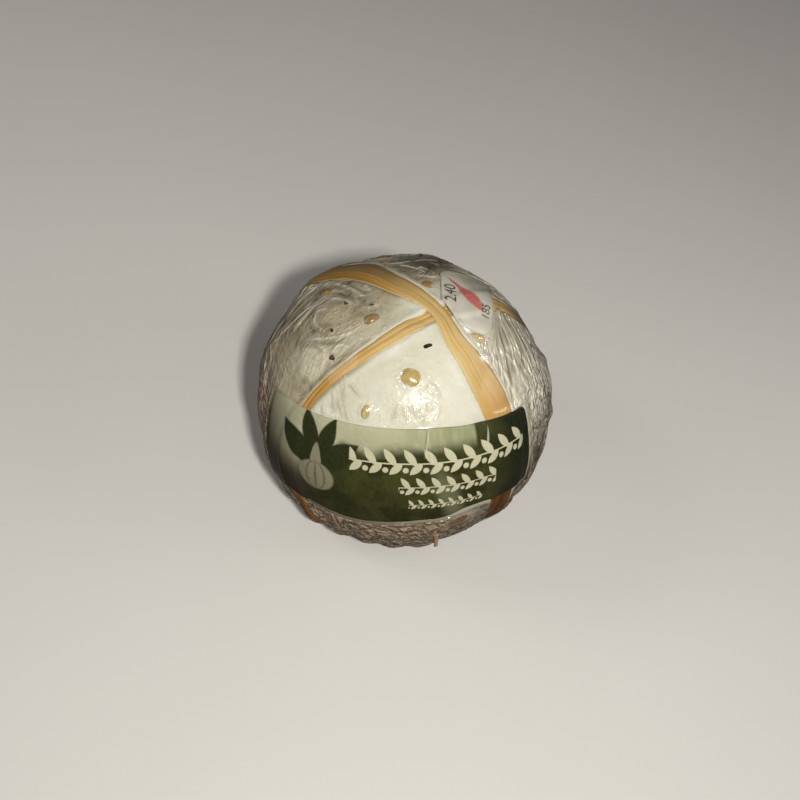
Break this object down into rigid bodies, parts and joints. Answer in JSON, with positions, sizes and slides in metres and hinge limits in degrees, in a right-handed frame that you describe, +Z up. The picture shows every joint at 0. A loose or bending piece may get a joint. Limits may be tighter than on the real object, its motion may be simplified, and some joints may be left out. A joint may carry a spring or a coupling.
{
  "type": "gaperon cheese",
  "caption": "Domed garlic and pepper cheese in clear film, tied with flat raffia bands, with a long curved paper label and a small price sticker",
  "frame": {"origin": "middle of the flat foot, on the surface that the cheese stands on", "axes": "+Z up through the top of the dome, -Y towards the front that the label bends round, +X to the right"},
  "size_m": [0.0971, 0.0969, 0.0817],
  "materials": {
    "clear_film": "clear wrinkled film drawn tight, seen over ivory rind",
    "cheese_rind": "ivory to grey-brown rind, moist, with soft mottling",
    "garlic": "golden and slightly see-through",
    "pepper": "dark brown, matt",
    "raffia": "dry golden fibre with a soft sheen along the strands",
    "label_paper": "dark green coated paper under film",
    "sticker_paper": "white printed paper under film"
  },
  "bodies": {
    "root": {"wrapped_cheese": "clear_film", "raffia_band_over": "raffia", "raffia_band_under": "raffia", "raffia_end": "raffia", "label": "label_paper", "price_sticker": "sticker_paper"}
  },
  "joints": []
}
